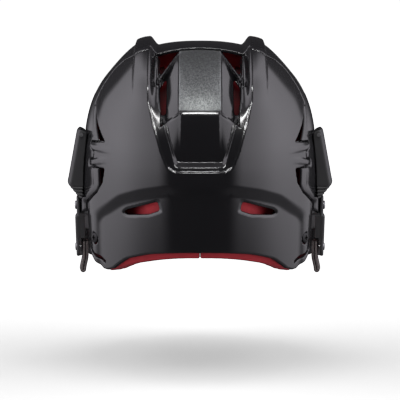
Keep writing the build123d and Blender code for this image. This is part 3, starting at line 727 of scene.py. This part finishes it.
def rear_foam_ends(block, x, y, z):
    block = both(both(block, 23.8 - y, 2.0), 0.3 - x, 1.0)
    boss = side_place(corner_screw_y, corner_screw_z)[0]
    gone = np.sqrt((x - boss[0]) ** 2 + (y - boss[1]) ** 2 + (z - boss[2]) ** 2) - 15.5
    return less(block, gone, 1.0)


def front_foam_ends(block, x, y, z):
    block = both(block, y - 22.2, 2.0)
    nut_room = 8.2
    for y_hole in side_hole_ys:
        gone = np.hypot(y - y_hole, z - side_hole_z) - nut_room
        block = less(block, np.maximum(gone, 70.0 - np.abs(x)), 1.0)
    gone = np.hypot(np.abs(x) - brow_hole_x, z - brow_hole_z) - nut_room
    return less(block, np.maximum(gone, y + 90.0), 1.0)


def strap_ring(x, y):
    """Near distance to the chin strap's oval, from its middle line."""
    u, v = x / strap_half_width, (y - strap_centre_y) / strap_reach
    flat = np.sqrt(u * u + v * v) + 1e-9
    slope = np.sqrt((u / strap_half_width) ** 2 + (v / strap_reach) ** 2) / flat
    return (flat - 1) / slope


STRAP = Outline(strap_edge, 0.8)


def strap_field(x, y, z):
    return both(np.abs(strap_ring(x, y)) - strap_half_wall, STRAP(y, z), 0.7)


def cup_field(x, y, z):
    across = np.maximum(np.abs(x) - 20.0, 0.0)
    upright = np.maximum(np.abs(z - 10.5) - 3.5, 0.0)
    rim = np.hypot(across, upright) - 7.0
    lip = 0.8 * within(np.abs(rim + 1.6) - 0.7, 1.2)
    wall = np.abs(strap_ring(x, y) + strap_half_wall + 1.75) - 1.75 + 0.8 - lip
    cup = both(both(wall, rim, 1.6), y + 60.0, 0.5)
    for index in range(-2, 3):
        cup = less(cup, np.hypot(x - 9.0 * index, z - 10.5) - 1.8, 0.6)
    return cup


def slide_field(x, y, z):
    angle = np.radians(38.0)
    along = np.array((-strap_half_width * np.sin(angle), -strap_reach * np.cos(angle)))
    along /= np.linalg.norm(along)
    dx = x - strap_half_width * np.cos(angle)
    dy = y - strap_centre_y + strap_reach * np.sin(angle)
    t, n, w = dx * along[0] + dy * along[1], dx * along[1] - dy * along[0], z - 10.1
    frame_block = both(both(np.abs(n) - 3.4, np.abs(w) - 10.0, 2.4), np.abs(t) - 6.5, 1.2)
    room = np.maximum(np.abs(strap_ring(x, y)) - 1.3, np.abs(w) - 7.9)
    window = np.maximum(np.abs(w) - 7.4, np.maximum(np.abs(np.abs(t) - 3.1) - 1.7, n))
    return less(less(frame_block, room, 0.5), window, 0.6)


def loop_place():
    spot, outward = side_place(13.0, 13.0, cheek_bulge + guard_step, cheek_drop)
    return np.array((spot[0], spot[1], 0.0)), outward


def loop_field(x, y, z):
    origin, outward = loop_place()
    dx, dy = x - origin[0], y - origin[1]
    lean = 2.2 * eased((15.0 - z) / 14.0)
    u = dx * outward[0] + dy * outward[1] + 4.4 - lean
    t = -dx * outward[1] + dy * outward[0]
    across = np.maximum(np.abs(u) - 0.05, 0.0)
    low = np.maximum(2.15 - z, 0.0)
    outside = np.hypot(across, low) - 2.15
    return both(both(np.abs(outside + 0.95) - 0.95, np.abs(t) - 7.0, 0.6), z - 26.0, 0.6)


def pad_field(x, y, z):
    wall = skin(head_form(x - 7.0, y, z + cheek_drop), 2.5)
    block = both(both(wall, np.abs(y - 10.0) - 15.0, 1.0), np.abs(z - 77.0) - 7.0, 1.0)
    return block + 0.35 * within(np.abs((y - 10.0) % 5.0 - 2.5) - 0.6, 0.8)


def snap_field(x, y, z):
    r = np.hypot(y - snap_y, z - snap_z)
    inner = strap_ring(x, y) + strap_half_wall
    dome = both(both(r - 6.5, inner, 0.4), -inner - 4.6 + 0.03 * r * r, 1.0)
    return less(dome, np.maximum(np.abs(r - 4.4) - 0.3, inner + 3.6), 0.3)


# Settings that a user would change

def colour_setting(name, description, default):
    return bpy.props.FloatVectorProperty(
        name=name, description=description, subtype="COLOR", size=3, min=0.0, max=1.0, default=default)


def size_setting(name, description, default, low, high):
    return bpy.props.FloatProperty(name=name, description=description, default=default, min=low, max=high,
                                   subtype="DISTANCE", unit="LENGTH")


def strength_setting(name, description, default, high):
    return bpy.props.FloatProperty(name=name, description=description, default=default, min=0.0, max=high)


class HelmetShells(bpy.types.PropertyGroup):
    colour: colour_setting("Shell colour", "Colour of the front and rear shells", (0.012, 0.012, 0.013))
    fleck: colour_setting("Fleck colour", "Colour of the metallic fleck on the raised tongue",
                          (0.27, 0.285, 0.28))
    step: size_setting("Mesh spacing", "Spacing of the points on the shells", 0.0010, 0.0006, 0.004)


class HelmetTrim(bpy.types.PropertyGroup):
    colour: colour_setting("Trim colour", "Colour of the latches, ear guards and chin cup",
                           (0.05, 0.051, 0.051))
    step: size_setting("Mesh spacing", "Spacing of the points on the trim", 0.0007, 0.0004, 0.002)


class HelmetFoam(bpy.types.PropertyGroup):
    colour: colour_setting("Liner colour", "Colour of the foam liners", (0.47, 0.026, 0.036))
    brow: colour_setting("Brow pad colour", "Colour of the brow pad", (0.03, 0.03, 0.032))
    groove: size_setting("Groove depth", "Depth of the grooves between the foam blocks", 0.0032, 0.0, 0.006)


class HelmetWebbing(bpy.types.PropertyGroup):
    colour: colour_setting("Webbing colour", "Colour of the chin strap", (0.02, 0.02, 0.022))
    loops: colour_setting("Loop colour", "Colour of the two ear loops", (0.17, 0.15, 0.14))


class HelmetHardware(bpy.types.PropertyGroup):
    colour: colour_setting("Metal colour", "Colour of the screws, rivets, studs and pins", (0.5, 0.5, 0.51))
    black: colour_setting("Black metal colour", "Colour of the corner screws", (0.035, 0.035, 0.036))
    rubber: colour_setting("Rubber colour", "Colour of the pads inside the latches", (0.02, 0.02, 0.02))


class HelmetStage(bpy.types.PropertyGroup):
    floor: size_setting("Floor drop", "How far the floor lies below the helmet", 0.0755, 0.0, 0.5)
    lens: bpy.props.FloatProperty(name="Lens", description="Focal length of the camera", default=170.0,
                                  min=30.0, max=400.0, unit="CAMERA")
    side: strength_setting("Side light", "Strength of the soft light from both sides", 2.9, 50.0)
    top: strength_setting("Top light", "Strength of the soft light from above", 0.4, 50.0)
    strip: strength_setting("Strip light", "Power of the strip light in watts", 8.0, 200.0)
    sky: strength_setting("Sky light", "Power of the wide light above in watts", 3.0, 200.0)


settings_groups = {
    "helmet_shells": HelmetShells, "helmet_trim": HelmetTrim, "helmet_foam": HelmetFoam,
    "helmet_webbing": HelmetWebbing, "helmet_hardware": HelmetHardware, "helmet_stage": HelmetStage,
}


def settings(name):
    return getattr(bpy.context.scene, "helmet_" + name)


def finish_once(name, maker, colour, *values):
    """A finish by name, made the first time that it is asked for."""
    return bpy.data.materials.get(name) or maker(name, tuple(colour), *values)


def coarse(step):
    return step * 1.0


# Operators

class HELMET_OT_shells(bpy.types.Operator):
    """Build the front and rear shells."""
    bl_idname = "helmet.shells"
    bl_label = "Shells"

    def execute(self, context):
        chosen = settings("shells")
        finish = finish_once("glossy_shell", glossy_shell_finish, chosen.colour, tuple(chosen.fleck))
        step = coarse(chosen.step * 1000)
        rear = moulding("rear_shell_moulding", rear_shell_field, (-96, 24, 4), (96, 128, 192), step)
        points = points_of(rear)
        ax, y, z = np.abs(points[:, 0]), points[:, 1], points[:, 2]
        outside = head_form(points[:, 0], y, z) > -3.6
        set_attribute(rear, "fleck", within(np.maximum(ax - 17, crease_height + 2.2 - z), 1.0) * outside)
        place(rear, "rear", finish, "rear_shell")
        front = moulding("front_shell_moulding", front_shell_field, (-106, -127, 38), (106, 78, 200), step)
        set_attribute(front, "fleck", np.zeros(len(front.data.vertices)))
        place(front, "front", finish, "front_shell")
        return {"FINISHED"}


class HELMET_OT_guards(bpy.types.Operator):
    """Build the two ear guards."""
    bl_idname = "helmet.guards"
    bl_label = "Ear guards"

    def execute(self, context):
        chosen = settings("trim")
        finish = finish_once("matte_moulding", matte_moulding_finish, chosen.colour)
        step = coarse(chosen.step * 1000)
        pair = moulding_pair("ear_guard", "moulding", guard_field, (90, -56, 6), (110, 24, 66), step)
        for piece, side in pair:
            place(piece, "front", finish, "ear_guard_" + side)
        return {"FINISHED"}


class HELMET_OT_latches(bpy.types.Operator):
    """Build the two side latches and their pads."""
    bl_idname = "helmet.latches"
    bl_label = "Side latches"

    def execute(self, context):
        chosen = settings("trim")
        matte = finish_once("matte_moulding", matte_moulding_finish, chosen.colour)
        rubber = finish_once("pad_rubber", matte_moulding_finish, settings("hardware").rubber, 0.7)
        step = coarse(chosen.step * 1000)
        for name, field, low, high, spacing, slot, finish in (
                ("side_latch", latch_field, (88, -20, 60), (116, 40, 126), step, "matte_trim", matte),
                ("latch_pad", pad_field, (96, -8, 68), (108, 28, 86), 0.6, "pad_rubber", rubber)):
            for piece, side in moulding_pair(name, "moulding", field, low, high, spacing):
                place(piece, "latch_" + side, finish, f"{name}_{side}")
        return {"FINISHED"}


class HELMET_OT_foam(bpy.types.Operator):
    """Build the foam liners and the brow pad."""
    bl_idname = "helmet.foam"
    bl_label = "Foam"

    def execute(self, context):
        chosen = settings("foam")
        red = finish_once("liner_foam", foam_finish, chosen.colour)
        dark = finish_once("brow_foam", foam_finish, chosen.brow)
        depth, step = chosen.groove * 1000, coarse(1.5)
        rear = foam_field(rear_foam, Outline(rear_liner_edge, 2.0), rear_foam_ends, depth)
        temple = foam_field(front_foam, Outline(temple_liner_edge, 2.5), front_foam_ends, depth)
        for name, field, low, high, body in (
                ("rear_liner", rear, (-3, 20, 2), (90, 122, 192), "rear"),
                ("temple_liner", temple, (44, -76, 44), (98, 26, 128), "front")):
            for piece, side in moulding_pair(name, "foam", field, low, high, step):
                place(piece, body, red, f"{name}_{side}")
        for name, edge, low, high, finish, slot in (
                ("front_liner", forehead_edge, (-92, -124, 115), (92, -40, 194), red, "foam"),
                ("crown_liner", crown_liner_edge, (-96, -47, 123), (96, 26, 196), red, "foam"),
                ("brow_pad", brow_edge, (-92, -126, 97), (92, -42, 121), dark, "brow_foam")):
            grooves = depth if slot == "foam" else 0.0
            shape = foam_field(front_foam, Outline(edge, 2.0), front_foam_ends, grooves)
            piece = moulding(name + "_foam", shape, low, high, step)
            place(piece, "front", finish, name)
        return {"FINISHED"}


class HELMET_OT_webbing(bpy.types.Operator):
    """Build the chin strap and the two ear loops."""
    bl_idname = "helmet.webbing"
    bl_label = "Webbing"

    def execute(self, context):
        chosen = settings("webbing")
        finish = finish_once("woven_tape", webbing_finish, chosen.colour)
        loop_finish = finish_once("loop_tape", webbing_finish, chosen.loops)
        strap = moulding("chin_strap_webbing", strap_field, (-102, -115, 0), (102, -14, 34), coarse(0.8))
        points = points_of(strap)
        turn = np.linspace(-np.pi, np.pi, 721)
        way = np.hypot(np.diff(strap_half_width * np.cos(turn)), np.diff(strap_reach * np.sin(turn)))
        length = np.concatenate([[0.0], np.cumsum(way)])
        angle = np.arctan2((points[:, 1] - strap_centre_y) / strap_reach, points[:, 0] / strap_half_width)
        set_attribute(strap, "along", np.interp(angle, turn, length))
        set_attribute(strap, "across", points[:, 2])
        place(strap, "strap", finish, "chin_strap")
        pair = moulding_pair("ear_loop", "webbing", loop_field, (90, 2, -1), (105, 24, 27), coarse(0.5))
        for piece, side in pair:
            points = points_of(piece)
            set_attribute(piece, "along", points[:, 2])
            set_attribute(piece, "across", points[:, 1])
            place(piece, "front", loop_finish, "ear_loop_" + side)
        return {"FINISHED"}


class HELMET_OT_chin(bpy.types.Operator):
    """Build the chin cup, the strap slides and the strap snaps."""
    bl_idname = "helmet.chin"
    bl_label = "Chin cup and slides"

    def execute(self, context):
        finish = finish_once("matte_moulding", matte_moulding_finish, settings("trim").colour)
        cup = moulding("chin_cup_moulding", cup_field, (-29, -114, -1), (29, -98, 22), coarse(0.5))
        place(cup, "strap", finish, "chin_cup")
        for name, field, low, high, node in (
                ("strap_slides_moulding", slide_field, (66, -88, -1), (88, -66, 22), "strap_slides"),
                ("strap_snaps_moulding", snap_field, (90, -38, 14), (100, -22, 30), "strap_snaps")):
            surface = field_surface(field, low, high, coarse(0.4))
            piece = mesh_object(name, *merged(surface, mirrored_surface(*surface)))
            place(piece, "strap", finish, node)
        return {"FINISHED"}


class HELMET_OT_hardware(bpy.types.Operator):
    """Build the screws, rivets and studs, and finish the pins and nuts."""
    bl_idname = "helmet.hardware"
    bl_label = "Screws, rivets and pins"

    def execute(self, context):
        chosen = settings("hardware")
        finish = finish_once("steel_hardware", steel_finish, chosen.colour)
        dark = finish_once("black_hardware", steel_finish, chosen.black, 0.42)
        corner = side_place(corner_screw_y, corner_screw_z, turn=20.0)
        corner = (corner[0] - corner[1] * 2.4, corner[1])
        guard = [side_place(y, 56.0, 6.8, cheek_drop) for y in (-36.0, 11.0)]
        rivet = side_place(13.0, 21.0, 8.2, cheek_drop)
        stud_x = side_place(snap_y, snap_z, 8.2, cheek_drop)[0][0] - 4.2 * np.sin(np.radians(15.0))
        stud = (np.array((stud_x, snap_y, snap_z)), np.array((1.0, 0.0, 0.0)))
        for name, places, sizes, body, node in (
                ("corner_screws_metal", [corner], (4.3, 2.4, 2.0, 9.6, "cross"), "rear", "corner_screws"),
                ("guard_screws_metal", guard, (3.4, 1.6, 1.8, 8.5, "cross"), "front", "guard_screws"),
                ("loop_rivets_metal", [rivet], (3.0, 1.0, 1.5, 3.9, "none"), "front", "loop_rivets"),
                ("snap_studs_metal", [stud], (4.2, 1.8, 2.2, 6.0, "ring"), "front", "snap_studs")):
            surfaces = [screw_surface(one, *sizes) for one in places]
            surfaces += [mirrored_surface(*one) for one in surfaces]
            piece = mesh_object(name, *merged(*surfaces))
            place(piece, body, dark if body == "rear" else finish, node)
        for node in ("latch_pins", "corner_nuts", "fitting_nuts"):
            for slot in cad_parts[node].material_slots:
                slot.link = "OBJECT"
                slot.material = finish
        return {"FINISHED"}


def aimed(name, data, spot, aim):
    """A light or a camera that stands at a spot and looks at an aim."""
    made = bpy.data.objects.new(name, data)
    made.location = spot
    made.rotation_euler = (Vector(aim) - Vector(spot)).to_track_quat("-Z", "Y").to_euler()
    bpy.context.scene.collection.objects.link(made)
    return made


def area_light(name, spot, aim, size, power):
    data = bpy.data.lights.new(name, "AREA")
    data.shape, data.size, data.size_y, data.energy = "RECTANGLE", *size, power
    return aimed(name, data, spot, aim)


class HELMET_OT_stage(bpy.types.Operator):
    """Build the floor, the lights and the camera."""
    bl_idname = "helmet.stage"
    bl_label = "Stage"

    def execute(self, context):
        chosen, scene = settings("stage"), bpy.context.scene
        scene.view_settings.view_transform = "Standard"
        scene.view_settings.look = "None"
        world = bpy.data.worlds.new("studio")
        scene.world = world
        world.use_nodes = True
        tree = world.node_tree
        back = tree.nodes["Background"]
        node = node_maker(tree)
        rays = node("ShaderNodeLightPath").outputs
        direction = node("ShaderNodeSeparateXYZ", i0=node("ShaderNodeTexCoord").outputs["Generated"])
        leftward, rearward, upward = direction.outputs

        def ramp(value, start, end, low, high):
            return spread(node, value, low, high, start, end, "SMOOTHSTEP")

        def times(first, second):
            return calculated(node, "MULTIPLY", first, second)

        def plus(first, second):
            return calculated(node, "ADD", first, second)

        # Soft light from both sides and from above, but little from the front above the horizon
        sideways = calculated(node, "ABSOLUTE", leftward)
        bearing = calculated(node, "SUBTRACT", sideways, rearward)
        near, far = ramp(bearing, -0.2, 0.2, 0.0, 0.62), ramp(bearing, 0.0, 1.25, 0.0, 0.38)
        behind = times(ramp(rearward, -0.95, 0.1, 0.15, 0.76), ramp(rearward, -1.0, -0.86, 0.0, 1.0))
        beside = times(plus(near, far), times(behind, ramp(sideways, 0.18, 0.48, 0.0, 1.0)))
        height = ramp(upward, -0.55, 0.1, chosen.side * 0.1, chosen.side)
        above = times(ramp(upward, 0.45, 1.0, 0.0, chosen.top), ramp(rearward, -0.6, 0.5, 0.15, 1.0))
        shade = times(ramp(rearward, -0.77, -0.69, 0.95, 0.0), ramp(upward, 0.0, 0.14, 0.0, 1.0))
        beside = times(beside, calculated(node, "SUBTRACT", 1.0, shade))
        soft = plus(plus(times(beside, height), above), 0.03)
        # A diffuse ray sees less of it, with a glow below and near the horizon; the camera sees plain white
        matte = plus(times(soft, 0.4), ramp(upward, 0.05, 0.4, 0.7, 0.0))
        lit = node("ShaderNodeMix", i0=rays["Is Diffuse Ray"], i2=soft, i3=matte).outputs[0]
        seen = node("ShaderNodeMix", i0=rays["Is Camera Ray"], i2=lit, i3=1.05).outputs[0]
        hue = node("ShaderNodeMix", {"data_type": "RGBA"}, i0=rays["Is Camera Ray"],
                   i6=(0.99, 0.955, 1.03, 1.0), i7=(1.0, 1.0, 1.0, 1.0)).outputs[2]
        tree.links.new(hue, back.inputs["Color"])
        tree.links.new(seen, back.inputs["Strength"])
        bm = bmesh.new()
        bmesh.ops.create_grid(bm, x_segments=1, y_segments=1, size=6.0)
        mesh = bpy.data.meshes.new("floor")
        bm.to_mesh(mesh)
        bm.free()
        floor = bpy.data.objects.new("floor", mesh)
        floor.location = (0.0, 0.0, -chosen.floor)
        scene.collection.objects.link(floor)
        paper, node, link = new_finish("floor_paper", (0.86, 0.86, 0.86), 0.9,
                                       **{"Specular IOR Level": 0.0})
        fibres = spread(node, grain(node, 600.0, 3.0), 0.0, 1.0, 0.3, 0.7)
        link(tint(node, fibres, (0.85, 0.85, 0.85), (0.87, 0.87, 0.87)), "Base Color")
        floor.data.materials.append(paper)
        floor.is_shadow_catcher = True
        floor.visible_glossy = False
        strip = area_light("top_strip", (0.0, 0.98, 0.98), (0, 0.1, 0.14), (0.9, 0.1), chosen.strip)
        strip.visible_diffuse = False
        sky = area_light("sky_light", (0.0, -0.02, 1.9), (0, -0.02, 0), (1.0, 0.5), chosen.sky)
        sky.visible_glossy = False
        data = bpy.data.cameras.new("camera")
        data.lens, data.sensor_width, data.clip_end = chosen.lens, 36.0, 50.0
        scene.camera = aimed("camera", data, (0.0, 1.596, 0.2096), (0, 0, 0.059))
        return {"FINISHED"}


class VIEW3D_PT_helmet(bpy.types.Panel):
    """Sizes, colours and builders of the helmet."""
    bl_idname = "VIEW3D_PT_helmet"
    bl_label = "Ice Hockey Helmet"
    bl_space_type = "VIEW_3D"
    bl_region_type = "UI"
    bl_category = "Helmet"

    def draw(self, context):
        for name, group in settings_groups.items():
            box = self.layout.box()
            for prop in group.__annotations__:
                box.prop(getattr(context.scene, name), prop)
        for operator in operators:
            self.layout.operator(operator.bl_idname)


operators = (
    HELMET_OT_stage, HELMET_OT_shells, HELMET_OT_guards, HELMET_OT_latches, HELMET_OT_foam,
    HELMET_OT_webbing, HELMET_OT_chin, HELMET_OT_hardware,
)


def register():
    for group in settings_groups.values():
        bpy.utils.register_class(group)
    for name, group in settings_groups.items():
        setattr(bpy.types.Scene, name, bpy.props.PointerProperty(type=group))
    for item in (*operators, VIEW3D_PT_helmet):
        bpy.utils.register_class(item)


def unregister():
    for item in (VIEW3D_PT_helmet, *reversed(operators)):
        bpy.utils.unregister_class(item)
    for name in settings_groups:
        delattr(bpy.types.Scene, name)
    for group in settings_groups.values():
        bpy.utils.unregister_class(group)


def main():
    register()
    bpy.ops.helmet.stage()
    bpy.ops.helmet.shells()
    bpy.ops.helmet.guards()
    bpy.ops.helmet.latches()
    bpy.ops.helmet.foam()
    bpy.ops.helmet.webbing()
    bpy.ops.helmet.chin()
    bpy.ops.helmet.hardware()


if __name__ == "__main__":
    main()
